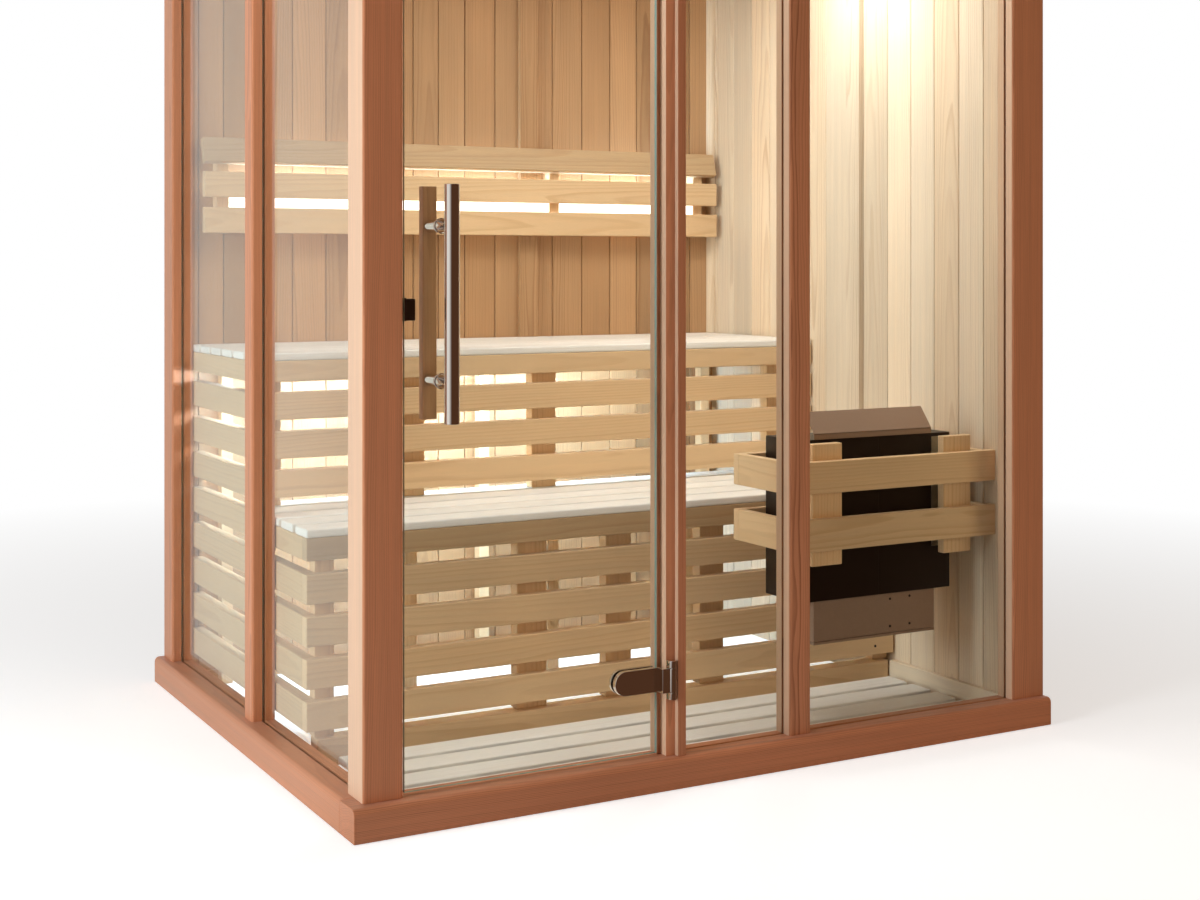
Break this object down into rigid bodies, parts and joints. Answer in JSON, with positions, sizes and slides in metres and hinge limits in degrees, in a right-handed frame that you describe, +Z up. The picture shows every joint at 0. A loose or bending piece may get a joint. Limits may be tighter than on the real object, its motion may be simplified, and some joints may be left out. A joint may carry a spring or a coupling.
{
  "type": "indoor sauna cabin",
  "caption": "Indoor sauna cabin with a glazed front and left side on timber posts, a hinged glass door, stepped slatted benches, a backrest and a guarded wall heater.",
  "frame": {"origin": "on the floor, where the centre lines of the front glass and the left glass cross, under the front left corner", "axes": "+X right along the front, +Y from the front glass to the back wall, +Z up"},
  "size_m": [1.726, 1.46, 2.07],
  "materials": {
    "frame_wood": "oiled red cedar, satin",
    "wall_wood": "planed cladding boards",
    "bench_wood": "smooth pale hardwood, untreated",
    "clear_glass": "clear toughened glass",
    "polished_steel": "polished stainless steel",
    "black_metal": "satin black powder coat",
    "bronze_metal": "satin brown-grey coated sheet"
  },
  "bodies": {
    "root": {"front_sill": "frame_wood", "left_sill": "frame_wood", "front_header": "frame_wood", "left_header": "frame_wood", "corner_post": "frame_wood", "hinge_post": "frame_wood", "hinge_post_cover": "frame_wood", "front_middle_post": "frame_wood", "front_right_post": "frame_wood", "left_middle_post": "frame_wood", "rear_left_post": "frame_wood", "back_wall_left_panel": "wall_wood", "back_wall_right_panel": "wall_wood", "back_wall_batten": "wall_wood", "right_wall_rear_panel": "wall_wood", "right_wall_front_panel": "wall_wood", "right_wall_batten": "wall_wood", "right_wall_skirting": "wall_wood", "back_wall_skirting": "wall_wood", "wall_corner_trim": "wall_wood", "roof_panel": "wall_wood", "front_middle_glass": "clear_glass", "front_right_glass": "clear_glass", "left_front_glass": "clear_glass", "left_rear_glass": "clear_glass", "door_hinge_brackets": "polished_steel", "door_catch": "black_metal", "upper_bench_top": "bench_wood", "upper_bench_skirt": "bench_wood", "upper_bench_frame": "bench_wood", "lower_bench_top": "bench_wood", "lower_bench_skirt": "bench_wood", "lower_bench_frame": "bench_wood", "bench_side_skirt": "bench_wood", "backrest": "bench_wood", "heater_body": "black_metal", "heater_box": "bronze_metal", "heater_deflector": "bronze_metal", "heater_wall_arms": "bronze_metal", "heater_guard": "bench_wood", "duckboard": "bench_wood"},
    "door": {"door_glass": "clear_glass", "door_hinge_clamps": "polished_steel", "door_handle_outer": "polished_steel", "door_handle_inner": "bench_wood"}
  },
  "joints": [
    {"name": "door_swing", "type": "hinge", "parent": "root", "child": "door", "pos_m": [0.646, -0.04, 0.223], "axis": [0, 0, 1], "range_deg": [0, 100]}
  ]
}
